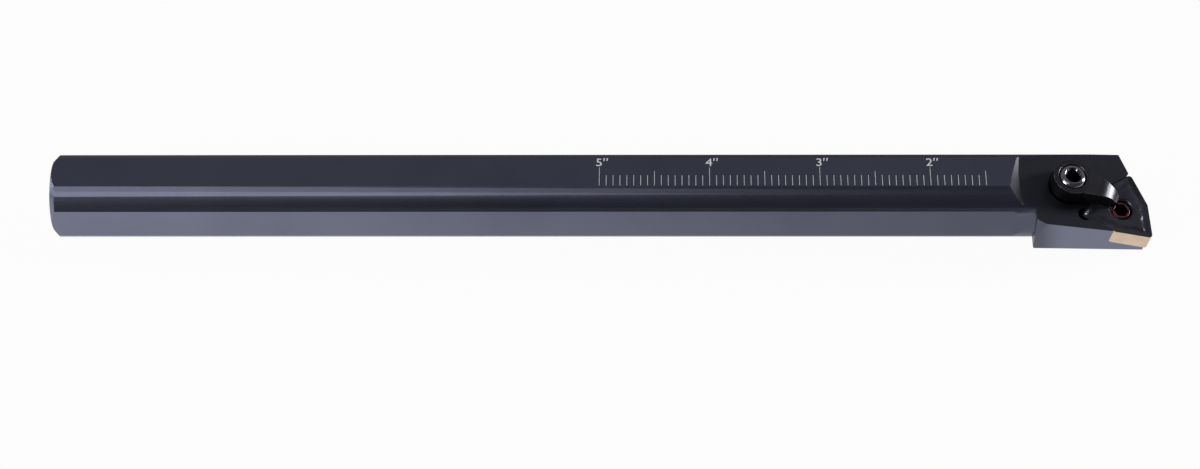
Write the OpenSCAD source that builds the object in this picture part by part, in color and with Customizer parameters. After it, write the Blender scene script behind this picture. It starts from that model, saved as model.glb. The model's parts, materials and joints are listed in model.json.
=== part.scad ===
// Boring bar with a clamped trigon insert.
// The bar lies along +X, the cutting tip is at its far end and the cutting side faces -Y.
// The origin is on the shank's axis, in the plane of the rear face.

/* [Shank] */
// Overall length, from the rear face to the cutting tip
bar_len = 254; // [160:1:350]
// Diameter of the round shank
shank_d = 19.05; // [17:0.05:25]
// Depth of the ground flats below the round
flat_depth = 1.03; // [0.4:0.01:1.6]
// Bevel round the rear end
end_bevel = 1.2; // [0.4:0.1:2.5]
// Plain round neck between the side flat and the head's shoulder
neck_len = 2.8; // [1:0.1:12]
// Angle at which the side flat runs out
runout_angle = 25; // [10:1:45]

/* [Head] */
// Distance from the shank's axis to the cutting tip
tip_offset = 12.7; // [11:0.1:17]
// Length of the sideways shoulder that carries the insert
shoulder_len = 26.7; // [24:0.1:34]
// Height of the shoulder's lower edge below the axis, at its side
shoulder_low = 6.3; // [4:0.1:7]
// Radius on the shoulder's rear corners
shoulder_round = 1.3; // [0.5:0.1:2.5]
// Distance that the shoulder's rounded lower corner starts below its lower edge
shoulder_drop = 1.1; // [0.5:0.1:2]
// Largest radius that the head sweeps about the axis
swing_r = 13.8; // [12.9:0.1:18]
// Loss of that radius at the shoulder's rear
swing_taper = 0.6; // [0:0.1:1]
// Length of the milled top face
face_len = 31.2; // [29:0.1:40]
// Radius of the cutter path that ends the top face
face_sweep = 36; // [16:1:80]
// Distance from the cutting tip to the middle of that path, across the bar
sweep_mid = 13.7; // [8:0.1:20]
// Angle of the slope behind the top face
ramp_angle = 30; // [20:1:60]
// Sideways slope of the top face
face_radial = 11.5; // [8:0.5:14]
// Lengthwise slope of the top face
face_axial = 9.5; // [6:0.5:12]
// Distance behind the tip at which the top face is level with the insert
face_level = 9; // [4:0.5:12]
// Sideways rake of the insert
radial_rake = 9.5; // [5:0.5:11]
// Lengthwise rake of the insert
axial_rake = 8; // [4:0.5:9]

/* [Insert] */
// Inscribed circle of the trigon insert
insert_ic = 12.7; // [9.5:0.1:13.2]
// Thickness of the insert
insert_t = 4.76; // [3.2:0.01:6.4]
// Corner radius of the insert
insert_nose = 0.8; // [0.4:0.1:1.6]
// Radius of the insert's hole
insert_hole_r = 2.58; // [2.2:0.01:3]
// Width of the flat land along the cutting edges
land_w = 0.35; // [0.1:0.05:0.8]
// Width of the chip groove inside the land
groove_w = 1.5; // [0.6:0.1:2]
// Depth of the chip groove
groove_d = 0.32; // [0.1:0.01:0.6]

/* [Lock pin] */
// Radius of the pin's locating end
pin_r = 2.4; // [2:0.05:2.8]
// Radius of the pin's collar
pin_collar_r = 3.4; // [3:0.1:4]
// Thickness of the pin's collar
pin_collar_h = 1.1; // [0.6:0.1:2]
// Radius of the pin's threaded stem
pin_stem_r = 2.5; // [2:0.1:2.9]
// Length of the pin's threaded stem
pin_stem_len = 3.5; // [2.5:0.1:7]
// Distance of the pin's top below the insert's top
pin_sink = 0.45; // [0.2:0.05:1]

/* [Clamp] */
// Distance from the insert's centre to the clamp screw
clamp_reach = 13.3; // [11:0.1:16]
// Direction from the insert's centre to the clamp screw
clamp_turn = 160; // [150:1:175]
// Height of the clamp's boss
clamp_h = 5; // [4:0.1:8]
// Radius of the clamp's boss
boss_r = 4.5; // [3.9:0.05:5.5]
// Radius of the clamp's nose, seen from above
nose_r = 1.4; // [1:0.1:3]
// Distance that the nose reaches over the edge of the insert's hole
nose_over = 1.2; // [0:0.1:2]
// Swing of the finger about the screw, towards the front of the head
finger_turn = 4; // [-6:1:10]
// Height of the finger where its top starts to round down
finger_h = 4.6; // [3:0.1:7]
// Radius of the rounded top of the finger's end
roll_r = 5.6; // [4:0.1:9]
// Height of the finger's blunt tip
nose_h = 1; // [0.6:0.1:2]
// Height of the hollow under the clamp
arch_h = 0.6; // [0.2:0.1:1.2]
// Bevel at the top of the clamp's threaded bore
bore_bevel = 0.35; // [0.1:0.05:0.8]
// Length of the heel in front of the screw's axis
heel_len = 1.5; // [0.5:0.1:3]
// Length of the pad under the nose
pad_len = 3; // [1.5:0.1:4]

/* [Clamp screw] */
// Radius over the screw's threads
screw_r = 3; // [2.5:0.05:3.2]
// Length of the screw
screw_len = 18; // [14:0.5:19]
// Length of the screw's upper thread
upper_len = 4.5; // [3:0.5:6]
// Length of the plain waist between its two threads
waist_len = 2; // [1:0.5:4]
// Radius of the plain waist
waist_r = 2.4; // [1.8:0.1:2.8]
// Distance that the screw stands out of the clamp
screw_proud = 0.5; // [0:0.1:1.5]
// Width across the flats of the hexagon sockets
hex_af = 3; // [2.5:0.1:3.2]
// Depth of the hexagon sockets
hex_depth = 3.4; // [2:0.1:4]

/* [Fits] */
// Radial clearance of threads and pins in their holes
fit_gap = 0.05; // [0.02:0.01:0.1]
// Gap between the insert and its pocket's walls
wall_gap = 0.05; // [0.02:0.01:0.2]
// Gap between the clamp and what it presses on
seat_gap = 0.02; // [0:0.01:0.1]
// Gap between the clamp's sides and the walls of its seat
seat_wall = 0.3; // [0.1:0.05:0.8]
// Drop of the clamp's seat and of the top face's level point below the insert's top
face_drop = 0.15; // [0.05:0.05:0.5]
// Distance that the insert's leading edges stand out of the head's front
overhang = 0.5; // [0.2:0.1:1.2]
// Distance that the insert's side edge stands out of the shoulder
side_overhang = 0.3; // [0.1:0.05:0.8]

/* [Hidden] */
$fn = 96;
far = 60;
shank_r = shank_d / 2;
// half of the insert's cutting corner, which is 80 degrees
half_corner = 40;
// the cutting corner points this way, so that both its edges clear the work by 5 degrees
corner_turn = -45;
arc_steps = 8;
// the insert's centre, measured from the tip along each of the two rake axes
centre_in = (insert_ic / 2 - insert_nose) / sin(half_corner) * cos(corner_turn) + insert_nose;
// directions in which the insert's two free leading edges face
free_edges = [corner_turn + 90 - half_corner, corner_turn + 90 - half_corner + 20];
corner_reach = insert_ic / 2 / sin(half_corner);
// corner reliefs of the pocket: the radius and direction of each, and their depth below its floor
relief_r = [1.6, 0.9];
relief_turn = [corner_turn - 120, corner_turn + 120];
relief_sink = 0.25;
// the slope behind the top face rises past the top of the shank
ramp_h = shank_d;
// the nose's centre, from the screw's axis
nose_at = clamp_reach - insert_hole_r + nose_over - nose_r;
// the rounded top's axis: it puts the finger's tip at nose_h
roll_z = finger_h - roll_r;
roll_at = nose_at + nose_r - sqrt(pow(roll_r, 2) - pow(nose_h - roll_z, 2));
screw_top = clamp_h + screw_proud;
screw_bevel = 0.45;
pin_bevel = 0.4;
// the finger's top leaves the boss here
slope_start = boss_r * 0.8;
// a flank a little narrower than the round it runs into
flank_share = 0.97;
// cutters reach this far past the faces that they cut
past = 1;

// one point of the insert's outline per step round each of its three corners
function trigon(ic, nose) = [
    for (k = [0:2]) each concat(
        [for (i = [0:arc_steps])
            let (mid = 120 * k,
                 a = mid + (90 - half_corner) * (2 * i / arc_steps - 1),
                 reach = (ic / 2 - nose) / sin(half_corner))
            reach * [cos(mid), sin(mid)] + nose * [cos(a), sin(a)]],
        [ic / 2 / sin(2 * half_corner) * [cos(120 * k + 60), sin(120 * k + 60)]])
];

// the raked plane of the insert's top, with its origin at the cutting tip
module rake_frame() {
    translate([bar_len, -tip_offset, 0]) rotate([radial_rake, axial_rake, 0]) children();
}

// the same plane, with its origin at the insert's centre
module insert_frame() {
    rake_frame() translate([-centre_in, centre_in, 0]) children();
}

// the clamp screw's place on that plane, with its X axis towards the insert
module clamp_frame() {
    insert_frame() rotate(clamp_turn) translate([clamp_reach, 0, 0]) rotate(180) children();
}

// a flat of the shank, facing +Z, with a sloping run-out at its far end
module flat_cutter(len) {
    rise = shank_r;
    translate([0, 0, shank_r - flat_depth]) rotate([90, 0, 0])
        linear_extrude(height = 2 * shank_d, center = true)
            polygon([[-past, 0], [len, 0], [len + rise / tan(runout_angle), rise], [-past, rise]]);
}

module shank_blank() {
    rotate([0, 90, 0]) {
        cylinder(h = end_bevel, r1 = shank_r - end_bevel, r2 = shank_r);
        translate([0, 0, end_bevel]) cylinder(h = bar_len + far / 2 - end_bevel, r = shank_r);
    }
}

// a rectangle that keeps its sharp corners except the one at the origin
module one_round_corner(size) {
    r = shoulder_round;
    translate([r, r]) circle(r = r);
    translate([r, 0]) square([size[0] - r, size[1]]);
    translate([0, r]) square([size[0], size[1] - r]);
}

// the sideways shoulder under the insert, as seen along each of the three axes
module shoulder_blank() {
    start = bar_len - shoulder_len;
    len = shoulder_len + far / 2;
    side = tip_offset + past;
    difference() {
        intersection() {
            translate([start, 0, 0]) rotate([90, 0, 90]) linear_extrude(height = len)
                polygon([[0, -shank_r], [-tip_offset, -shoulder_low], [-side, -shoulder_low],
                         [-side, shank_r], [0, shank_r]]);
            translate([start, 0, -shoulder_low - shoulder_drop]) rotate([90, 0, 0])
                linear_extrude(height = 2 * side, center = true)
                    one_round_corner([len, 3 * shank_r]);
            translate([start, -centre_y() - side_reach(), -shank_d])
                linear_extrude(height = 2 * shank_d) one_round_corner([len, 3 * shank_r]);
            translate([start, 0, 0]) rotate([0, 90, 0])
                cylinder(h = shoulder_len, r1 = swing_r - swing_taper, r2 = swing_r);
        }
        insert_frame() translate([-far, -far - side_reach(), -far / 2]) cube([2 * far, far, far]);
    }
}

// distance from the insert's centre to the head's side face, and the centre's own offset
function side_reach() = insert_ic / 2 - side_overhang;
function centre_y() = tip_offset - centre_in;

// what is milled off to leave the top face and the slope behind it
module top_cutter() {
    rake_frame() translate([-face_level, 0, -face_drop])
        rotate([face_radial - radial_rake, face_axial - axial_rake, 0])
            translate([face_sweep - face_len + face_level, sweep_mid, 0])
                cylinder(h = ramp_h, r1 = face_sweep, r2 = face_sweep + ramp_h / tan(ramp_angle), $fn = 180);
}

// the shallow seat in which the clamp's heel stands
module seat_cutter() {
    clamp_frame() rotate(finger_turn) translate([0, 0, -face_drop]) clamp_blank(far / 2, seat_wall);
}

// what is milled off in front, parallel to the insert's leading edges
module front_cutter() {
    insert_frame() for (a = free_edges)
        rotate(a) translate([insert_ic / 2 - overhang, -far / 2, -far / 2]) cube([far, far, far]);
}

module pocket_cutter() {
    insert_frame() {
        translate([0, 0, -insert_t]) rotate(corner_turn) linear_extrude(height = insert_t + past)
            polygon(trigon(insert_ic + 2 * wall_gap, insert_nose));
        for (i = [0:1]) rotate(relief_turn[i])
            translate([corner_reach - insert_nose, 0, -insert_t - relief_sink])
                cylinder(h = insert_t + relief_sink + past, r = relief_r[i]);
        translate([0, 0, -insert_t - pin_collar_h])
            cylinder(h = pin_collar_h + past, r = pin_collar_r + fit_gap);
        translate([0, 0, -far / 2]) cylinder(h = far / 2, r = pin_stem_r + fit_gap);
    }
}

module screw_hole_cutter() {
    clamp_frame() translate([0, 0, -far / 2]) cylinder(h = far, r = screw_r + fit_gap);
}

module hex_socket(depth) {
    translate([0, 0, -depth]) cylinder(h = depth + past, r = hex_af / sqrt(3), $fn = 6);
}

module bar() {
    color([0.19, 0.20, 0.23]) difference() {
        union() {
            shank_blank();
            shoulder_blank();
        }
        top_cutter();
        seat_cutter();
        front_cutter();
        pocket_cutter();
        screw_hole_cutter();
        flat_cutter(bar_len - face_len);
        rotate([90, 0, 0]) flat_cutter(bar_len - shoulder_len - neck_len - flat_depth / tan(runout_angle));
        rotate([180, 0, 0]) flat_cutter(2 * bar_len);
    }
}

// a groove between two tapered outlines, open at the top
module chip_groove() {
    outer = insert_ic - 2 * land_w;
    floor_ic = outer - groove_w;
    inner = outer - 2 * groove_w;
    difference() {
        linear_extrude(height = groove_d, scale = outer / floor_ic)
            polygon(trigon(floor_ic, insert_nose));
        linear_extrude(height = groove_d, scale = inner / (floor_ic - groove_d))
            polygon(trigon(floor_ic - groove_d, insert_nose));
    }
}

module insert() {
    color([0.15, 0.15, 0.17]) insert_frame() rotate(corner_turn) difference() {
        translate([0, 0, -insert_t]) linear_extrude(height = insert_t)
            polygon(trigon(insert_ic, insert_nose));
        translate([0, 0, -groove_d]) chip_groove();
        translate([0, 0, -insert_t + groove_d]) mirror([0, 0, 1]) chip_groove();
        translate([0, 0, -insert_t - past]) cylinder(h = insert_t + 2 * past, r = insert_hole_r);
    }
}

module lock_pin() {
    top = insert_t - pin_sink;
    color([0.42, 0.20, 0.17]) insert_frame() translate([0, 0, -insert_t]) difference() {
        union() {
            translate([0, 0, -pin_collar_h - pin_stem_len]) cylinder(h = pin_stem_len, r = pin_stem_r);
            translate([0, 0, -pin_collar_h]) cylinder(h = pin_collar_h, r = pin_collar_r);
            cylinder(h = top - pin_bevel, r = pin_r);
            translate([0, 0, top - pin_bevel]) cylinder(h = pin_bevel, r1 = pin_r, r2 = pin_r - pin_bevel);
        }
        translate([0, 0, top]) hex_socket(hex_depth);
    }
}

// the clamp's outline: a round boss, a tapering finger and a round nose
module clamp_blank(height, grow) {
    boss_w = boss_r * flank_share + grow;
    nose_w = nose_r * flank_share + grow;
    cylinder(h = height, r = boss_r + grow);
    translate([nose_at, 0, 0]) cylinder(h = height, r = nose_r + grow);
    linear_extrude(height = height)
        polygon([[0, -boss_w], [nose_at, -nose_w], [nose_at, nose_w], [0, boss_w]]);
}

module clamp() {
    wide = 2 * boss_r + 2 * past;
    tip = nose_at + nose_r;
    color([0.17, 0.18, 0.20]) clamp_frame() translate([0, 0, seat_gap]) rotate(finger_turn) difference() {
        union() {
            clamp_blank(clamp_h, 0);
            // the heel, which stands on the floor of its seat
            translate([0, 0, -face_drop]) cylinder(h = face_drop + past, r = boss_r);
        }
        // the finger's top slopes down from the boss
        rotate([90, 0, 0]) linear_extrude(height = wide, center = true)
            polygon([[slope_start, clamp_h], [roll_at, finger_h], [tip + past, finger_h],
                     [tip + past, clamp_h + past], [slope_start, clamp_h + past]]);
        // and then rounds down to the tip
        difference() {
            translate([roll_at, -wide / 2, roll_z]) cube([far, wide, far]);
            translate([roll_at, 0, roll_z]) rotate([90, 0, 0]) cylinder(h = 2 * wide, r = roll_r, center = true);
        }
        // the hollow between heel and pad
        translate([heel_len, -wide / 2, -past]) cube([tip - pad_len - heel_len, wide, past + arch_h]);
        translate([0, 0, -past]) cylinder(h = clamp_h + 2 * past, r = screw_r + fit_gap);
        translate([0, 0, clamp_h - bore_bevel])
            cylinder(h = bore_bevel + past, r1 = screw_r + fit_gap, r2 = screw_r + fit_gap + bore_bevel + past);
    }
}

module clamp_screw() {
    color([0.30, 0.30, 0.32]) clamp_frame() translate([0, 0, screw_top]) difference() {
        union() {
            translate([0, 0, -screw_bevel]) cylinder(h = screw_bevel, r1 = screw_r, r2 = screw_r - screw_bevel);
            translate([0, 0, -upper_len]) cylinder(h = upper_len - screw_bevel, r = screw_r);
            translate([0, 0, -upper_len - waist_len]) cylinder(h = waist_len, r = waist_r);
            translate([0, 0, -screw_len + screw_bevel])
                cylinder(h = screw_len - upper_len - waist_len - screw_bevel, r = screw_r);
            translate([0, 0, -screw_len])
                cylinder(h = screw_bevel, r1 = screw_r - screw_bevel, r2 = screw_r);
        }
        hex_socket(hex_depth);
    }
}

bar();
insert();
lock_pin();
clamp();
clamp_screw();
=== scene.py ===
# %% [markdown]
# # Boring bar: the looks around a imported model
# A boring bar is a steel bar that reaches into a hole on a lathe and cuts its wall. This one
# has ground flats, an engraved inch scale and a milled head. The head holds a hard insert
# with a pin, a finger clamp and a double-threaded screw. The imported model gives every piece
# its true size and place. This script adds soft edges, threads, the insert's chip grooves,
# the scale, the finishes and a small studio.

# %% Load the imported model
import json
import math

import bmesh
import bpy
import numpy as np
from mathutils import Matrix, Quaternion, Vector


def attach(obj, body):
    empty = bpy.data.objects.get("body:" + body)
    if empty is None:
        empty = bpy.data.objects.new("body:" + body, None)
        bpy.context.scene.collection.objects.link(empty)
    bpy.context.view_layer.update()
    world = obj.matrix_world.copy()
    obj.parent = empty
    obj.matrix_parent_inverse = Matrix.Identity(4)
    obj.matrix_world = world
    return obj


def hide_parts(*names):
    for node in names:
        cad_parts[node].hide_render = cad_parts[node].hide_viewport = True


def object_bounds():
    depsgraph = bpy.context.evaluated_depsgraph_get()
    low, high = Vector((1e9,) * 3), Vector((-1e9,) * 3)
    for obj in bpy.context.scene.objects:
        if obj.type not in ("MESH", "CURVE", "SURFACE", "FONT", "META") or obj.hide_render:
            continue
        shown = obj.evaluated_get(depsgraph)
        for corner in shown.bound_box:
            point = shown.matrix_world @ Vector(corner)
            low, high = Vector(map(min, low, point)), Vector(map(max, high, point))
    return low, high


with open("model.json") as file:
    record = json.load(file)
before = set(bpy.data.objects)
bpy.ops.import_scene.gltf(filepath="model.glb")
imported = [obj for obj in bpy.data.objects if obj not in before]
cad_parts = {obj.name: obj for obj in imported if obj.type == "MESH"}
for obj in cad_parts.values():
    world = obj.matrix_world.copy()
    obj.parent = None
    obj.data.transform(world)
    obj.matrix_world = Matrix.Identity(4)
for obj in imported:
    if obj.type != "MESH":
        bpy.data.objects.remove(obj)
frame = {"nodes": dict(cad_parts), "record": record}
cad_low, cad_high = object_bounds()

MM = 0.001

# %% [markdown]
# ## Directions on the head
# The insert lies in a pocket that is tilted two ways, which is called its rake. The tilt
# could be measured on the CAD mesh, but its two angles are known: a turn about the bar and
# then a turn across it. The clamp's slide joint runs square to the tilted plane, so its axis
# shows that the angles are right. The new pieces of the head are worked out level and then
# turned into this tilted frame.

# %% The tilted frame of the head
RADIAL_RAKE = math.radians(9.5)
AXIAL_RAKE = math.radians(8.0)


def turn_about(axis, angle):
    """A plain turn about coordinate axis 0, 1 or 2: the two other axes get the angle's cosine
    on themselves and plus or minus its sine on each other."""
    first, second = (axis + 1) % 3, (axis + 2) % 3
    turn = np.eye(3)
    turn[first, first] = turn[second, second] = math.cos(angle)
    turn[second, first] = math.sin(angle)
    turn[first, second] = -math.sin(angle)
    return turn


rake = turn_about(1, AXIAL_RAKE) @ turn_about(0, RADIAL_RAKE)
joints = {joint["name"]: joint for joint in frame["record"]["behaviour"]["joints"]}
print("rake normal", rake[:, 2].round(4), "joint axis", joints["clamp_lift"]["axis"])

# %% [markdown]
# ## Soft edges on the steel
# A ground or milled edge is never perfectly sharp: a fine deburred line catches the light.
# The edges could be rounded in the CAD model, but there each one adds exact surfaces for a
# radius that nobody measures. So copies of the CAD meshes are softened here. A CAD mesh is
# loose triangles, so a copy is welded, its flat areas are joined, and a bevel modifier
# about a tenth of a millimetre wide rounds every real edge. The copy then stands in for
# the CAD node, in exactly the same place.

# %% A softened copy of a CAD piece
WELD = 2e-7
FLAT_ANGLE = math.radians(0.4)
EDGE_DEGREES = 14


def smooth(piece, degrees):
    """Smooth shading, with a crease wherever two faces meet at more than this angle."""
    piece.data.shade_smooth()
    piece.data.set_sharp_from_angle(angle=math.radians(degrees))


def softened(node, name, width, segments=2):
    """A welded copy of a CAD node with its edges beveled by a width in metres."""
    piece = bpy.data.objects.new(name, frame["nodes"][node].data.copy())
    bpy.context.scene.collection.objects.link(piece)
    work = bmesh.new()
    work.from_mesh(piece.data)
    bmesh.ops.remove_doubles(work, verts=work.verts, dist=WELD)
    bmesh.ops.dissolve_limit(work, angle_limit=FLAT_ANGLE, verts=work.verts, edges=work.edges)
    work.to_mesh(piece.data)
    work.free()
    smooth(piece, EDGE_DEGREES)
    bevel = piece.modifiers.new("deburred edges", "BEVEL")
    bevel.width = width
    bevel.segments = segments
    bevel.limit_method = "ANGLE"
    bevel.angle_limit = math.radians(EDGE_DEGREES)
    bevel.harden_normals = True
    bevel.use_clamp_overlap = True
    print(name, len(piece.data.vertices), "points,", len(piece.data.polygons), "faces")
    return piece


# %% The bar, the clamp and the pin
bar = softened("bar", "bar_body", 0.12 * MM)
clamp = softened("clamp", "finger_clamp", 0.25 * MM, segments=3)
pin = softened("lock_pin", "centre_pin", 0.08 * MM)
for piece, node, body in ((bar, "bar", "bar"), (clamp, "clamp", "clamp"), (pin, "lock_pin", "bar")):
    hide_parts(node)
    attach(piece, body)

# %% [markdown]
# ## From numbers to a mesh
# The insert and the screw are worked out point by point. Each is a grid: rows along a
# profile, columns round an axis. Blender's own primitives and modifiers could come close,
# but a grid of numbers says each groove and thread by its formula. Neighbouring rows and
# columns make the faces, and the last column joins the first, so the piece is closed like a
# turned part.

# %% Helpers for grids
def even_angles(count):
    """Angles all round a circle: two pi times 0, 1, 2 and so on, over their count."""
    return np.arange(count) * 2 * np.pi / count


def ring(angles, radius, height):
    """One row of a grid: radius times cosine, radius times sine, and height, at every angle.
    The radius and the height may change round the ring."""
    radius, height = (np.broadcast_to(value, angles.shape) for value in (radius, height))
    return np.stack([radius * np.cos(angles), radius * np.sin(angles), height], axis=-1)


def ring_faces(rows, columns):
    """Quads between neighbouring rows; column j meets column j + 1, and the last the first."""
    r, c = np.meshgrid(np.arange(rows - 1), np.arange(columns), indexing="ij")
    right = (c + 1) % columns
    quads = np.stack([r * columns + c, r * columns + right,
                      (r + 1) * columns + right, (r + 1) * columns + c], axis=-1)
    return quads.reshape(-1, 4).tolist()


print("a grid of 3 rows and 4 columns has", len(ring_faces(3, 4)), "faces")


# %% Helpers for new pieces
SEAM = 1e-8
CREASE_DEGREES = 32


def add_mesh(name, points, faces):
    """Puts an array of points and a list of faces into a new object at the origin."""
    mesh = bpy.data.meshes.new(name)
    mesh.from_pydata(np.asarray(points, float).reshape(-1, 3).tolist(), [], faces)
    mesh.validate()
    mesh.update()
    piece = bpy.data.objects.new(name, mesh)
    bpy.context.scene.collection.objects.link(piece)
    return piece


def head_piece(name, grid, degrees, origin):
    """A closed piece on the head. Its points are the tilted frame, turned about its normal,
    times the grid's points, plus the origin. Coinciding points are merged, open ends filled
    and the faces turned outwards."""
    matrix = rake @ turn_about(2, math.radians(degrees))
    piece = add_mesh(name, grid @ matrix.T + origin, ring_faces(*grid.shape[:2]))
    work = bmesh.new()
    work.from_mesh(piece.data)
    bmesh.ops.remove_doubles(work, verts=work.verts, dist=SEAM)
    bmesh.ops.holes_fill(work, edges=work.edges, sides=0)
    bmesh.ops.recalc_face_normals(work, faces=work.faces)
    work.to_mesh(piece.data)
    work.free()
    smooth(piece, CREASE_DEGREES)
    print(name, len(piece.data.vertices), "points,", len(piece.data.polygons), "faces")
    return piece


# %% [markdown]
# ## The trigon insert
# The insert is a three-cornered plate with slightly broken sides, and it does the cutting. It
# could be a bent triangle with a bevel, but its outline has an exact rule: every side
# touches one circle, so the distance from the centre to the edge is a short formula.

# %% Outline of the insert
INSERT_CIRCLE = 12.7 * MM
INSERT_THICK = 4.76 * MM
INSERT_NOSE = 0.8 * MM
LEAST_NOSE = 0.25 * MM
HALF_CORNER = math.radians(40)
INSERT_COLUMNS = 360
insert_angle = even_angles(INSERT_COLUMNS)


def trigon_radius(angle, circle, nose):
    """Distance from centre to outline: the nearest of the two sides beside the nearest corner,
    each at half the circle's width, or the corner's own arc close to the corner's direction."""
    off = np.abs((angle + np.pi / 3) % (2 * np.pi / 3) - np.pi / 3)
    side = circle / 2 / np.cos(off - (np.pi / 2 - HALF_CORNER))
    reach = (circle / 2 - nose) / math.sin(HALF_CORNER)
    inside = np.clip(nose ** 2 - (reach * np.sin(off)) ** 2, 0, None)
    arc = reach * np.cos(off) + np.sqrt(inside)
    ends = math.atan2(nose * math.cos(HALF_CORNER), reach + nose * math.sin(HALF_CORNER))
    return np.where(off < ends, arc, side)


outline = trigon_radius(insert_angle, INSERT_CIRCLE, INSERT_NOSE) / MM
print("insert radius from", outline.min().round(3), "to", outline.max().round(3), "mm")

# %% [markdown]
# ## The chip groove
# Behind each cutting edge a real insert has a narrow land and then a groove, which curls the
# chips until they break. A picture of the groove in a bump map would vanish from the side,
# so it is real depth here. Each row of points is the outline at some inset and height. Rows
# from the hole outwards give the flat middle, the rippled groove, the land and the flank.
# The groove is deepest at the corners, and the underside repeats the top.

# %% Rows of the insert
INSERT_HOLE = 2.58 * MM
RIPPLES = 12
near_corner = (np.cos(3 * insert_angle) + 1) / 2
groove_floor = (-0.20 - 0.20 * near_corner) * MM
groove_foot = (-0.16 - 0.22 * near_corner) * MM
hole_rows = [
    # wider than the hole by, height
    (0.0, -INSERT_THICK / 2),
    (0.0, -0.55 * MM),
    (0.10 * MM, -0.30 * MM),
    (0.36 * MM, -0.05 * MM),
    (0.55 * MM, 0.0),
]
outline_rows = [
    # circle smaller by, height, ripple
    (4.6 * MM, 0.0, 0.06 * MM),
    (4.2 * MM, -0.02 * MM, 0.13 * MM),
    (3.6 * MM, groove_foot * 0.55, 0.15 * MM),
    (3.0 * MM, groove_foot, 0.14 * MM),
    (2.3 * MM, groove_floor, 0.09 * MM),
    (1.6 * MM, groove_floor * 0.82, 0.05 * MM),
    (1.1 * MM, groove_floor * 0.45, 0.02 * MM),
    (0.6 * MM, -0.04 * MM, 0.0),
    (0.10 * MM, -0.01 * MM, 0.0),
    (0.03 * MM, -0.02 * MM, 0.0),
    (0.0, -0.05 * MM, 0.0),
    (0.0, -0.5 * MM, 0.0),
    (0.0, -INSERT_THICK / 2, 0.0),
]


def outline_ring(cut, height, ripple):
    """The outline of a circle smaller by cut, plus a ripple times the cosine of twelve times
    the angle, at a height."""
    nose = max(INSERT_NOSE - cut / 2, LEAST_NOSE)
    radius = trigon_radius(insert_angle, INSERT_CIRCLE - cut, nose)
    return ring(insert_angle, radius + ripple * np.cos(RIPPLES * insert_angle), height)


upper_rings = [ring(insert_angle, INSERT_HOLE + wider, height) for wider, height in hole_rows]
upper_rings += [outline_ring(*row) for row in outline_rows]
lower_rings = [row * [1, 1, -1] - [0, 0, INSERT_THICK] for row in upper_rings[-2:0:-1]]
insert_grid = np.array(upper_rings + lower_rings + [upper_rings[0]])
print("insert grid", insert_grid.shape)

# %% [markdown]
# ## The insert in its pocket
# The insert's nose sets the tool's two most important sizes: how far the tip is from the
# rear face, and how far from the axis. So the insert isn't pushed into the pocket by eye.
# Its centre is worked back from those two sizes, along the tilted plane.

# %% The insert's mesh
BAR_LEN = 254 * MM
TIP_OFFSET = 12.7 * MM
CORNER_TURN = -45
corner_reach = (INSERT_CIRCLE / 2 - INSERT_NOSE) / math.sin(HALF_CORNER)
centre_in = corner_reach * math.cos(math.radians(CORNER_TURN)) + INSERT_NOSE
insert_at = np.array([BAR_LEN, -TIP_OFFSET, 0]) + rake @ np.array([-centre_in, centre_in, 0])
insert = head_piece("trigon_insert", insert_grid, CORNER_TURN, insert_at)
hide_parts("insert")
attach(insert, "bar")
print("insert centre", insert_at.round(5))

# %% [markdown]
# ## The clamp screw
# One end of this screw has a left-hand thread and the other a right-hand thread, so a single
# turn moves the clamp twice as far. The Screw modifier can wind a thread, but it leaves loose
# ends to close. Here a thread is a radius that rises and falls along a helix: the outer
# radius less a triangle wave of height plus turn. The hexagon socket is the same idea, with
# half its width over the cosine of the angle from the nearest flat.

# %% Shapes of the clamp screw
SCREW_R = 3.0 * MM
PITCH = 1.0 * MM
THREAD_DEPTH = 0.5 * MM
ROWS_PER_TURN = 12
SCREW_COLUMNS = 72
screw_angle = even_angles(SCREW_COLUMNS)


def hexagon(width):
    """Radius of a hexagon: half its width over the cosine of the angle from the nearest flat."""
    off = (screw_angle + np.pi / 6) % (np.pi / 3) - np.pi / 6
    return width / 2 / np.cos(off)


def thread_rows(top, bottom, hand):
    """Radius and height down a thread. The radius falls by a clipped triangle wave of height
    over pitch, plus or minus the turn, and the groove fades over half a pitch at both ends."""
    steps = int(round((top - bottom) / PITCH * ROWS_PER_TURN))
    heights = np.linspace(top, bottom, steps + 1)
    phase = (heights[:, None] / PITCH + hand * screw_angle[None, :] / (2 * np.pi)) % 1.0
    groove = np.clip(1.25 - np.abs(phase - 0.5) * 4, 0, 1)
    fade = np.clip(np.minimum(top - heights, heights - bottom) / (PITCH / 2), 0, 1)[:, None]
    return list(zip(SCREW_R - THREAD_DEPTH * groove * fade, heights))


print("one turn of thread takes", len(thread_rows(PITCH, 0.0, 1)), "rows")

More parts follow.
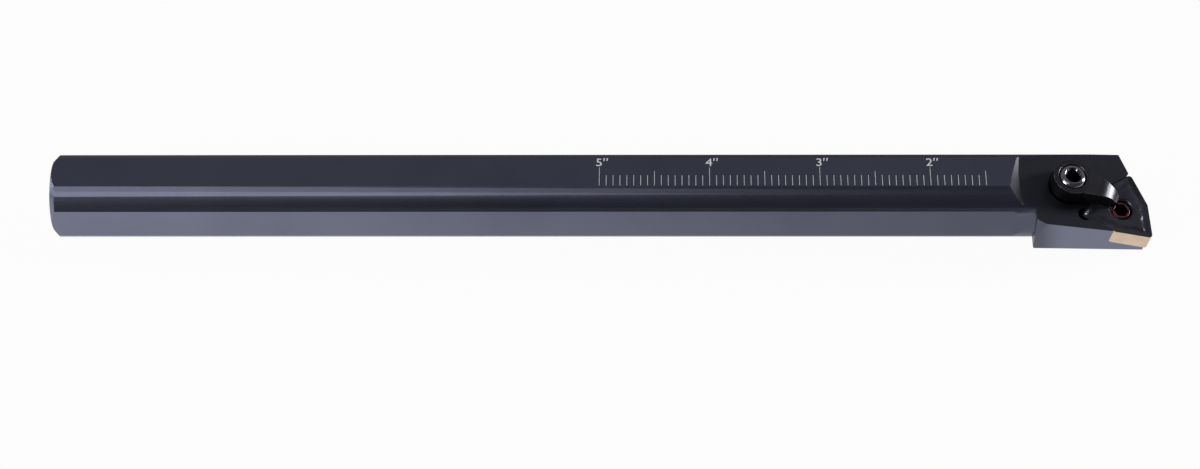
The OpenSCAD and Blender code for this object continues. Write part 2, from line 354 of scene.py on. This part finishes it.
# %% Rows of the clamp screw
SCREW_TOP = 5.5 * MM
SCREW_END = SCREW_TOP - 18.0 * MM
SOCKET_FLOOR = SCREW_TOP - 3.4 * MM
UPPER_END = SCREW_TOP - 4.5 * MM
LOWER_START = UPPER_END - 2.0 * MM
WAIST_R = 2.4 * MM
AXIS_R = 0.02 * MM
SOCKET_WIDTH = 3.0 * MM
socket = hexagon(SOCKET_WIDTH)
screw_rows = [
    # radius, height
    (AXIS_R, SOCKET_FLOOR - 0.5 * MM),
    (1.2 * MM, SOCKET_FLOOR),
    (socket, SOCKET_FLOOR),
    (socket, SCREW_TOP - 0.45 * MM),
    (socket * 0.2 + 1.62 * MM, SCREW_TOP - 0.06 * MM),
    (2.12 * MM, SCREW_TOP),
    (2.24 * MM, SCREW_TOP - 0.02 * MM),
    (2.62 * MM, SCREW_TOP - 0.18 * MM),
    (2.86 * MM, SCREW_TOP - 0.42 * MM),
    *thread_rows(SCREW_TOP - 0.62 * MM, UPPER_END, -1),
    (WAIST_R, UPPER_END - 0.3 * MM),
    (WAIST_R, LOWER_START + 0.3 * MM),
    *thread_rows(LOWER_START, SCREW_END + 0.6 * MM, 1),
    (2.45 * MM, SCREW_END),
    (AXIS_R, SCREW_END),
]
screw_grid = np.array([ring(screw_angle, radius, height) for radius, height in screw_rows])
print("screw grid", screw_grid.shape)

# %% The clamp screw's mesh
SCREW_TURN = 340
screw_at = np.array(joints["screw_turn"]["pos_m"])
screw = head_piece("clamp_stud", screw_grid, SCREW_TURN, screw_at)
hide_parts("clamp_screw")
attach(screw, "screw")

# %% [markdown]
# ## The engraved scale
# The scale on the upper flat measures the distance from the cutting tip, in sixteenths of an
# inch. A laser writes it, so the lines are pale and have almost no depth. They could be
# painted on by a material, but real geometry stays sharp from close up and stands up to
# export. Each line is a thin box whose eight corners are the line's place plus the corners
# of one small box, and all lines are one mesh.

# %% Lines of the scale
INCH = 25.4 * MM
FIRST_MARK, LAST_MARK = 24, 80
LINE_FOOT = -4.08 * MM
LINE_WIDTH = 0.105 * MM
SHORT_LINE, HALF_LINE, INCH_LINE = 3.05 * MM, 4.3 * MM, 5.4 * MM
MARK_RAISE = 0.012 * MM
mounts = {mount["name"]: mount for mount in frame["record"]["mounts"]}
flat_z = mounts["top_flat"]["pos_m"][2]
sixteenths = np.arange(FIRST_MARK, LAST_MARK + 1)
line_length = np.full(len(sixteenths), SHORT_LINE)
line_length[sixteenths % 8 == 0] = HALF_LINE
line_length[sixteenths % 16 == 0] = INCH_LINE
line_x = BAR_LEN - sixteenths * INCH / 16
box_x = np.array([-1, 1, 1, -1, -1, 1, 1, -1]) * LINE_WIDTH / 2
box_y = np.array([0, 0, 1, 1, 0, 0, 1, 1])
box_z = np.array([-1, -1, -1, -1, 1, 1, 1, 1]) * MARK_RAISE + flat_z
line_points = np.stack([line_x[:, None] + box_x, LINE_FOOT + line_length[:, None] * box_y,
                        np.broadcast_to(box_z, (len(sixteenths), 8))], axis=-1)
box_faces = np.array([[3, 2, 1, 0], [4, 5, 6, 7], [0, 1, 5, 4],
                      [1, 2, 6, 5], [2, 3, 7, 6], [3, 0, 4, 7]])
line_faces = np.arange(len(sixteenths))[:, None, None] * 8 + box_faces
scale_lines = add_mesh("scale_lines", line_points, line_faces.reshape(-1, 4).tolist())
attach(scale_lines, "bar")
print(len(sixteenths), "lines")

# %% [markdown]
# ## The numbers of the scale
# A number stands over each inch line, so that a depth can be read at a glance. Drawing
# digits point by point would be slow work for no gain, so each number is Blender text with
# a little thickness. It is turned into a mesh first and then moved by its points, so the
# finished object stays at the origin.

# %% Numbers of the scale
NUMBER_SIZE = 3.3 * MM
NUMBER_SPREAD = 0.005 * MM
NUMBER_SHIFT = -0.93 * MM
NUMBER_RISE = 5.86 * MM


def number_mesh(text, x):
    """A plain number with an inch sign over its line, as a thin raised mesh."""
    curve = bpy.data.curves.new("number_" + text, "FONT")
    curve.body = text + "″"
    curve.size = NUMBER_SIZE
    curve.extrude = MARK_RAISE
    curve.offset = NUMBER_SPREAD
    written = bpy.data.objects.new("number_" + text, curve)
    bpy.context.scene.collection.objects.link(written)
    bpy.context.view_layer.update()
    mesh = bpy.data.meshes.new_from_object(written)
    bpy.data.objects.remove(written)
    points = np.zeros(len(mesh.vertices) * 3)
    mesh.vertices.foreach_get("co", points)
    points = points.reshape(-1, 3) + [x + NUMBER_SHIFT, LINE_FOOT + NUMBER_RISE, flat_z]
    mesh.vertices.foreach_set("co", points.ravel())
    mesh.update()
    piece = bpy.data.objects.new("scale_number_" + text, mesh)
    bpy.context.scene.collection.objects.link(piece)
    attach(piece, "bar")
    return piece


numbers = [number_mesh(str(inches), BAR_LEN - inches * INCH) for inches in (2, 3, 4, 5)]
print("numbers", [piece.name for piece in numbers])

# %% [markdown]
# ## Effects shared by the finishes
# Several of these steels show the same two things: fine parallel lines left by a grinding
# wheel or a cutter, and a slow cloudiness left by the blackening bath and by oily hands.
# Each could be rebuilt in every material, but one node group with named sockets keeps it in
# one place, and every material uses it at its own size.

# %% Helpers for nodes
def add_node(tree, kind, values=None, **settings):
    """A new shader node. The settings go on the node itself, the values on its inputs."""
    node = tree.nodes.new("ShaderNode" + kind)
    for setting, choice in settings.items():
        setattr(node, setting, choice)
    for label, value in (values or {}).items():
        node.inputs[label].default_value = value
    return node


def wire(tree, *pairs):
    """Links each pair: an output to an input."""
    for output, target in pairs:
        tree.links.new(output, target)


def new_group(name, sockets_in, sockets_out):
    """An empty shader node group with its input and output sockets."""
    group = bpy.data.node_groups.new(name, "ShaderNodeTree")
    for label, kind, value in sockets_in:
        socket = group.interface.new_socket(label, in_out="INPUT", socket_type=kind)
        if value is not None:
            socket.default_value = value
    for label, kind in sockets_out:
        group.interface.new_socket(label, in_out="OUTPUT", socket_type=kind)
    print("group", group.name)
    return group, group.nodes.new("NodeGroupInput"), group.nodes.new("NodeGroupOutput")


# %% Machined lines
COARSE_SHARE = 0.18


def machined_lines_group():
    """Fine lines: coordinates squeezed along one direction, a fine and a coarse noise on them,
    and half the sum of the two. The coarse one has a small share of the fine one's scale."""
    group, start, end = new_group("machined lines", [
        ("Vector", "NodeSocketVector", None), ("Density", "NodeSocketFloat", 9000.0),
        ("Stretch", "NodeSocketVector", (0.02, 1.0, 1.0))], [("Lines", "NodeSocketFloat")])
    squeeze = add_node(group, "VectorMath", operation="MULTIPLY")
    fine = add_node(group, "TexNoise", {"Detail": 3.0})
    coarse = add_node(group, "TexNoise", {"Detail": 2.0})
    share = add_node(group, "Math", {1: COARSE_SHARE}, operation="MULTIPLY")
    both = add_node(group, "Math", operation="ADD")
    half = add_node(group, "Math", {1: 0.5}, operation="MULTIPLY")
    wire(group,
         (start.outputs["Vector"], squeeze.inputs[0]),
         (start.outputs["Stretch"], squeeze.inputs[1]),
         (squeeze.outputs[0], fine.inputs["Vector"]),
         (squeeze.outputs[0], coarse.inputs["Vector"]),
         (start.outputs["Density"], fine.inputs["Scale"]),
         (start.outputs["Density"], share.inputs[0]),
         (share.outputs[0], coarse.inputs["Scale"]),
         (fine.outputs["Fac"], both.inputs[0]),
         (coarse.outputs["Fac"], both.inputs[1]),
         (both.outputs[0], half.inputs[0]),
         (half.outputs[0], end.inputs["Lines"]))
    return group


lines_group = machined_lines_group()


# %% Bath clouds
def bath_clouds_group():
    """Slow cloudiness from 0 to 1: one soft noise, its middle range stretched out."""
    group, start, end = new_group("bath clouds", [
        ("Vector", "NodeSocketVector", None), ("Size", "NodeSocketFloat", 60.0)],
        [("Clouds", "NodeSocketFloat")])
    noise = add_node(group, "TexNoise", {"Detail": 5.0, "Roughness": 0.62})
    spread = add_node(group, "MapRange", {"From Min": 0.3, "From Max": 0.7})
    wire(group,
         (start.outputs["Vector"], noise.inputs["Vector"]),
         (start.outputs["Size"], noise.inputs["Scale"]),
         (noise.outputs["Fac"], spread.inputs["Value"]),
         (spread.outputs["Result"], end.inputs["Clouds"]))
    return group


clouds_group = bath_clouds_group()

# %% [markdown]
# ## Steel finishes
# The bar, clamp, pin and screw are blackened or tinted steel. A dark paint would look right
# from one side only, because such steel is still a metal: it shows what it mirrors, only
# dimmer. So all the steels are metals of one build: a dark colour that drifts a little with
# the clouds, a roughness that follows the machined lines, and a bump so faint that it only
# breaks up the reflections.

# %% One maker for the finishes
def clouded_material(name, dark, light, size):
    """A material whose colour drifts from dark to light with the bath clouds. Returns it with
    its tree, its shader, its Object coordinates and the clouds."""
    material = bpy.data.materials.new(name)
    material.use_nodes = True
    tree = material.node_tree
    shader = tree.nodes["Principled BSDF"]
    place = add_node(tree, "TexCoord").outputs["Object"]
    clouds = add_node(tree, "Group", {"Size": size}, node_tree=clouds_group)
    colour = add_node(tree, "Mix", {"A": (*dark, 1), "B": (*light, 1)}, data_type="RGBA")
    wire(tree,
         (place, clouds.inputs["Vector"]),
         (clouds.outputs["Clouds"], colour.inputs["Factor"]),
         (colour.outputs["Result"], shader.inputs["Base Color"]))
    return material, tree, shader, place, clouds.outputs["Clouds"]


def rough_from(tree, shader, value, rough):
    """Roughness that follows a value from 0 to 1, from the range's start to its end."""
    rub = add_node(tree, "MapRange", {"To Min": rough[0], "To Max": rough[1]})
    wire(tree, (value, rub.inputs["Value"]), (rub.outputs["Result"], shader.inputs["Roughness"]))


def steel(name, dark, light, rough, lines, stretch, size, bump, metal=1.0):
    """A blackened or bare steel. dark and light are the ends of its colour, rough the range of
    its roughness, lines and stretch the machined lines, size the clouds, bump their height."""
    material, tree, shader, place, _ = clouded_material(name, dark, light, size)
    shader.inputs["Metallic"].default_value = metal
    grain = add_node(tree, "Group", {"Density": lines, "Stretch": stretch}, node_tree=lines_group)
    height = add_node(tree, "Bump", {"Strength": 1.0, "Distance": bump})
    rough_from(tree, shader, grain.outputs["Lines"], rough)
    wire(tree,
         (place, grain.inputs["Vector"]),
         (grain.outputs["Lines"], height.inputs["Height"]),
         (height.outputs["Normal"], shader.inputs["Normal"]))
    return material


# %% Every steel and coat in one table
FINISHES = {
    # name: dark, light, roughness, lines, stretch, clouds, bump, metallic
    "blackened bar steel": ((0.150, 0.158, 0.222), (0.172, 0.182, 0.250), (0.20, 0.30),
                            9000, (0.015, 1, 1), 45, 1.2e-6),
    "blackened milled steel": ((0.058, 0.061, 0.072), (0.068, 0.071, 0.084), (0.34, 0.46),
                               6000, (1, 0.05, 1), 120, 1.5e-6),
    # painted shade: the slope is the head's milled steel, given a darker copy of its colour
    "painted shade slope steel": ((0.042, 0.042, 0.050), (0.052, 0.052, 0.062), (0.32, 0.44),
                              6000, (1, 0.05, 1), 120, 1.5e-6),
    "clamp steel": ((0.066, 0.066, 0.074), (0.080, 0.080, 0.090), (0.24, 0.34),
                    5000, (0.3, 0.3, 1), 200, 1.0e-6),
    # rubbed bare steel and a painted highlight: the clamp's rounded edges are lighter than its body
    "rubbed edge and painted highlight": ((0.26, 0.26, 0.29), (0.34, 0.34, 0.37), (0.22, 0.34),
                          5000, (0.3, 0.3, 1), 700, 0.8e-6),
    "heat tinted steel": ((0.20, 0.070, 0.085), (0.27, 0.10, 0.115), (0.24, 0.34),
                          6000, (0.2, 0.2, 1), 400, 1.0e-6),
    "oiled screw steel": ((0.30, 0.30, 0.33), (0.38, 0.38, 0.41), (0.10, 0.20),
                          6000, (0.2, 0.2, 1), 300, 0.8e-6),
    # painted shade: the insides of the sockets are near-black where shade falls
    "painted socket shade": ((0.018, 0.018, 0.021), (0.028, 0.028, 0.032), (0.30, 0.45),
                     6000, (1, 1, 0.2), 300, 1.0e-6),
    "black insert coat": ((0.042, 0.043, 0.054), (0.062, 0.064, 0.080), (0.20, 0.30),
                          7000, (1, 1, 1), 900, 1.5e-6, 0.55),
    "sandy insert coat": ((0.62, 0.47, 0.35), (0.74, 0.58, 0.45), (0.26, 0.40),
                          9000, (0.25, 1, 1), 500, 2.0e-6),
}
finishes = {name: steel(name, *values) for name, values in FINISHES.items()}
print("finishes", list(finishes))


# %% The steels on their pieces
def dress(piece, slot, *materials):
    """Gives a piece its materials. Its slot, the finish of the record it stands for, is not used.
    """
    piece.data.materials.clear()
    for material in materials:
        piece.data.materials.append(material)
    print(piece.name, "wears", [material.name for material in materials])


dress(bar, "blackened_steel", finishes["blackened bar steel"],
      finishes["blackened milled steel"], finishes["painted shade slope steel"])
dress(clamp, "clamp_steel", finishes["clamp steel"], finishes["rubbed edge and painted highlight"])
dress(pin, "bronzed_steel", finishes["heat tinted steel"], finishes["painted socket shade"])
dress(screw, "screw_steel", finishes["oiled screw steel"], finishes["painted socket shade"])
# the clamp's beveled edges take the lighter finish, partly rubbed steel and partly a painted
# highlight
clamp.modifiers["deburred edges"].material = 1

# %% [markdown]
# ## Which faces wear which finish
# The head's top was milled after the bar was ground, and the sockets are painted near-black
# inside as shade, so one piece shows two or three finishes. The pieces could be cut apart,
# but then their edges would gape. Instead a face is picked by where its centre lies and where
# it points, both measured in the tilted frame. On the bar that picks the milled top of the
# head and the slope behind it, which wears a darker copy of the milled steel as painted shade.
# On the pin and the screw it picks the socket. The clamp's rounded edges are rubbed bright and
# also carry a painted highlight, and there the bevel modifier itself hands out the second finish.

# %% Second finishes by place and direction
HEAD_START = -42 * MM
HEAD_DEPTH = -6 * MM
UPWARD = 0.8
MILLED_LEVEL = 0.94
SOCKET_REACH = 1.76 * MM
SOCKET_LIP = 0.02 * MM
SOCKET_DEPTH = 4.2 * MM


def face_frame(piece, origin):
    """Centres and normals of a piece's faces in the tilted frame: (value - origin) times rake."""
    values = []
    for field in ("center", "normal"):
        flat = np.zeros(len(piece.data.polygons) * 3)
        piece.data.polygons.foreach_get(field, flat)
        values.append(flat.reshape(-1, 3))
    return (values[0] - origin) @ rake, values[1] @ rake


def second_finish(piece, picked, third=False):
    """Gives the picked faces the piece's second material, or its third where third says so."""
    index = np.where(picked, 1 + np.logical_and(picked, third), 0).astype(np.int32)
    piece.data.polygons.foreach_set("material_index", index)
    print(piece.name, np.bincount(index), "faces in", [m.name for m in piece.data.materials])


centres, facing = face_frame(bar, [BAR_LEN, -TIP_OFFSET, 0])
on_head = (centres[:, 0] > HEAD_START) & (centres[:, 2] > HEAD_DEPTH)
# the slope's faces take the third material, a darker copy of the milled steel as painted shade
second_finish(bar, on_head & (facing[:, 2] > UPWARD), third=facing[:, 2] < MILLED_LEVEL)
# the socket faces of the pin and the screw take a near-black painted shade
for piece, origin in ((pin, insert_at), (screw, screw_at)):
    centres, facing = face_frame(piece, origin)
    below = centres[:, 2].max() - centres[:, 2]
    near_axis = np.hypot(centres[:, 0], centres[:, 1]) < SOCKET_REACH
    second_finish(piece, near_axis & (below > SOCKET_LIP) & (below < SOCKET_DEPTH))

# %% [markdown]
# ## The insert's coatings
# The insert's top and bottom wear a smooth black ceramic coat, while its ground flanks show
# a sandy metallic one. One material could mix the two by height, but a real insert changes
# coat exactly at its edge. So its faces are told apart by their direction: a flank's normal
# lies in the rake plane.

# %% Two coats on one insert
FLANK_TILT = 0.3
FLANK_FROM = 1.5 * INSERT_HOLE
dress(insert, "coated_carbide", finishes["black insert coat"], finishes["sandy insert coat"])
centres, facing = face_frame(insert, insert_at)
outside = np.hypot(centres[:, 0], centres[:, 1]) > FLANK_FROM
second_finish(insert, (np.abs(facing[:, 2]) < FLANK_TILT) & outside)

# %% [markdown]
# ## The pale marks
# A laser burns the blackening off, and what stays is pale, dull and a little uneven. A white
# glow would be simpler, but it would shine in the dark. So the marks have a plain dull
# surface whose colour and roughness follow the same clouds as the steel.

# %% The marks of the scale
marks, tree, shader, _, clouds = clouded_material("laser mark", (0.78, 0.79, 0.82),
                                                  (0.93, 0.94, 0.96), 1500.0)
shader.inputs["Metallic"].default_value = 0.0
rough_from(tree, shader, clouds, (0.5, 0.8))
for piece in (scale_lines, *numbers):
    dress(piece, "blackened_steel", marks)

# %% [markdown]
# ## The floor
# The bar lies on a white table, and polished steel is drawn by what it mirrors, so the floor
# draws the side flat. A plain white floor with strong lamps would light the steel too. So
# the floor is matt paint, which keeps the bar's shadow, under a plain white glow that only
# the camera and mirrored rays see. For mirrored rays the glow fades along the bar, as the
# light on a table does with distance. It returns beside the head and ends behind the bar,
# where the photograph has no light line.

# %% Helpers for the studio's nodes
def ray_mask(tree, *kinds):
    """1 for rays of the named kinds, else 0: the sum of the light path's answers, at most 1."""
    path = add_node(tree, "LightPath")
    answer = path.outputs[kinds[0]]
    for kind in kinds[1:]:
        total = add_node(tree, "Math", operation="ADD", use_clamp=True)
        wire(tree, (answer, total.inputs[0]), (path.outputs[kind], total.inputs[1]))
        answer = total.outputs[0]
    return answer


def passage(tree, value, from_low, from_high, to_low, to_high):
    """A smooth passage of a value from one range to another."""
    node = add_node(tree, "MapRange", {"From Min": from_low, "From Max": from_high,
                                       "To Min": to_low, "To Max": to_high},
                    interpolation_type="SMOOTHSTEP")
    wire(tree, (value, node.inputs["Value"]))
    return node.outputs["Result"]


def combined(tree, operation, *values):
    """One math operation on two values, each an output of a node or a plain number."""
    node = add_node(tree, "Math", operation=operation)
    for target, value in zip(node.inputs, values):
        if isinstance(value, float):
            target.default_value = value
        else:
            wire(tree, (value, target))
    return node.outputs[0]


# %% The floor's paint
WHITE = (1, 1, 1, 1)
FLOOR_COLOUR = (0.82, 0.82, 0.83, 1)
FLOOR_ROUGH = 0.9
FLOOR_GLOW = 0.955
# how mirrored rays see the glow: from and to in metres, then its strength at either end
ALONG_SHANK = (-0.02, 0.26, 1.0, 0.50)
BESIDE_HEAD = (0.222, 0.236, 0.0, 0.92)
BEHIND_BAR = (-0.004, 0.010, 1.0, 0.12)


def floor_paint():
    """Matt paint mixed with a white glow. The glow's strength is the larger of two passages
    along X, times one along Y, and at least 1 for the camera."""
    material = bpy.data.materials.new("studio floor")
    material.use_nodes = True
    tree = material.node_tree
    shader = tree.nodes["Principled BSDF"]
    shader.inputs["Base Color"].default_value = FLOOR_COLOUR
    shader.inputs["Roughness"].default_value = FLOOR_ROUGH
    axes = add_node(tree, "SeparateXYZ")
    wire(tree, (add_node(tree, "TexCoord").outputs["Object"], axes.inputs[0]))
    along_shank = passage(tree, axes.outputs["X"], *ALONG_SHANK)
    beside_head = passage(tree, axes.outputs["X"], *BESIDE_HEAD)
    behind_bar = passage(tree, axes.outputs["Y"], *BEHIND_BAR)
    level = combined(tree, "MAXIMUM", along_shank, beside_head)
    level = combined(tree, "MULTIPLY", level, behind_bar)
    level = combined(tree, "MAXIMUM", level, ray_mask(tree, "Is Camera Ray"))
    glow = add_node(tree, "Emission", {"Color": WHITE})
    seen = ray_mask(tree, "Is Camera Ray", "Is Glossy Ray", "Is Transmission Ray")
    mixed = add_node(tree, "MixShader")
    wire(tree,
         (level, glow.inputs["Strength"]),
         (combined(tree, "MULTIPLY", seen, FLOOR_GLOW), mixed.inputs[0]),
         (shader.outputs[0], mixed.inputs[1]),
         (glow.outputs[0], mixed.inputs[2]),
         (mixed.outputs[0], tree.nodes["Material Output"].inputs["Surface"]))
    return material


floor_z = cad_low[2]
floor_corners = [(-3, -3), (3.4, -3), (3.4, 3), (-3, 3)]
floor = add_mesh("floor", [(x, y, floor_z) for x, y in floor_corners], [[0, 1, 2, 3]])
floor.data.materials.append(floor_paint())
print("floor at", round(floor_z / MM, 3), "mm")

# %% [markdown]
# ## The room
# In the photograph the upper flat is nearly black, although it is the same ground steel as
# the pale side flat. So it mirrors something dim. It could be painted darker, but then it
# would be wrong from every other side. Instead mirrored rays see a dim room, darker in
# front than behind, and only the camera sees white.

# %% Room
ROOM_BEHIND = (0.205, 0.205, 0.222, 1)
ROOM_FRONT = (0.070, 0.070, 0.080, 1)
FRONT_TO_BEHIND = (-0.3, 0.4, 0.0, 1.0)
world = bpy.data.worlds.new("studio room")
bpy.context.scene.world = world
world.use_nodes = True
room = world.node_tree
way_axes = add_node(room, "SeparateXYZ")
walls = add_node(room, "Mix", {"A": ROOM_FRONT, "B": ROOM_BEHIND}, data_type="RGBA")
dim = room.nodes["Background"]
white = add_node(room, "Background", {"Color": WHITE})
choose = add_node(room, "MixShader")
wire(room,
     (add_node(room, "TexCoord").outputs["Generated"], way_axes.inputs[0]),
     (passage(room, way_axes.outputs["Y"], *FRONT_TO_BEHIND), walls.inputs["Factor"]),
     (walls.outputs["Result"], dim.inputs["Color"]),
     (ray_mask(room, "Is Camera Ray"), choose.inputs[0]),
     (dim.outputs[0], choose.inputs[1]),
     (white.outputs[0], choose.inputs[2]),
     (choose.outputs[0], room.nodes["World Output"].inputs["Surface"]))
print("room", world.name)

# %% [markdown]
# ## The lamps
# A product photographer lights steel with large soft boxes, because a small lamp would only
# show as a hard dot. The box high on the left draws the bright stripe along the round between
# the two flats. The right one lights the head's end, the front left one the insert's flank
# and the clamp's nose, and a low one on the left the rear face. All are weak, because the
# floor and the room do most of the work.

# %% Lamps
HEAD = (BAR_LEN - 16 * MM, 0, 0)


def aim(thing, at, towards):
    """Puts a lamp or camera at a point and turns its -Z to another point."""
    thing.location = at
    thing.rotation_mode = "QUATERNION"
    thing.rotation_quaternion = (Vector(towards) - Vector(at)).to_track_quat("-Z", "Y")


def soft_box(name, at, towards, size, power):
    """A rectangular lamp; its power is in watts."""
    lamp = bpy.data.lights.new(name, "AREA")
    lamp.shape = "RECTANGLE"
    lamp.size, lamp.size_y = size
    lamp.energy = power
    thing = bpy.data.objects.new(name, lamp)
    bpy.context.scene.collection.objects.link(thing)
    aim(thing, at, towards)
    print(name, power, "W")


soft_box("high_left_box", (-0.26, -0.42, 0.80), (0.02, 0, 0), (0.78, 0.36), 1.2)
soft_box("right_box", (1.10, 0.18, 0.28), HEAD, (0.20, 0.40), 7)
soft_box("front_left_box", (-0.70, -0.62, 0.50), HEAD, (0.50, 0.30), 5)
soft_box("low_left_box", (-0.80, 0.20, 0.12), (0, 0, 0), (0.60, 0.20), 3)

# %% [markdown]
# ## The camera
# The camera looks down on the edge between the two visible flats. Its place, turn and lens
# could be guessed and nudged, but some points of the bar have known real places, such as
# the inch lines. So they were fitted until those points fell where the photograph has them.

# %% Camera
CAM_TURN = math.radians(1.65)
CAM_HEIGHT = math.radians(50.44)
CAM_AWAY = 0.767
CAM_ROLL = math.radians(-1.29)
LENS = 97.48
target = np.array([BAR_LEN / 2 - 0.18 * MM, 0, -14.18 * MM])
way = np.array([math.sin(CAM_TURN) * math.cos(CAM_HEIGHT),
                -math.cos(CAM_TURN) * math.cos(CAM_HEIGHT), math.sin(CAM_HEIGHT)])
camera_data = bpy.data.cameras.new("camera")
camera_data.sensor_width = 36.0
camera_data.lens = LENS
camera_data.clip_start = 0.01
camera_data.clip_end = 20
camera = bpy.data.objects.new("camera", camera_data)
bpy.context.scene.collection.objects.link(camera)
aim(camera, (target + CAM_AWAY * way).tolist(), target.tolist())
camera.rotation_quaternion = camera.rotation_quaternion @ Quaternion((0, 0, 1), CAM_ROLL)
bpy.context.scene.camera = camera
bpy.context.scene.view_settings.view_transform = "Standard"
print("camera at", [round(value, 3) for value in camera.location])
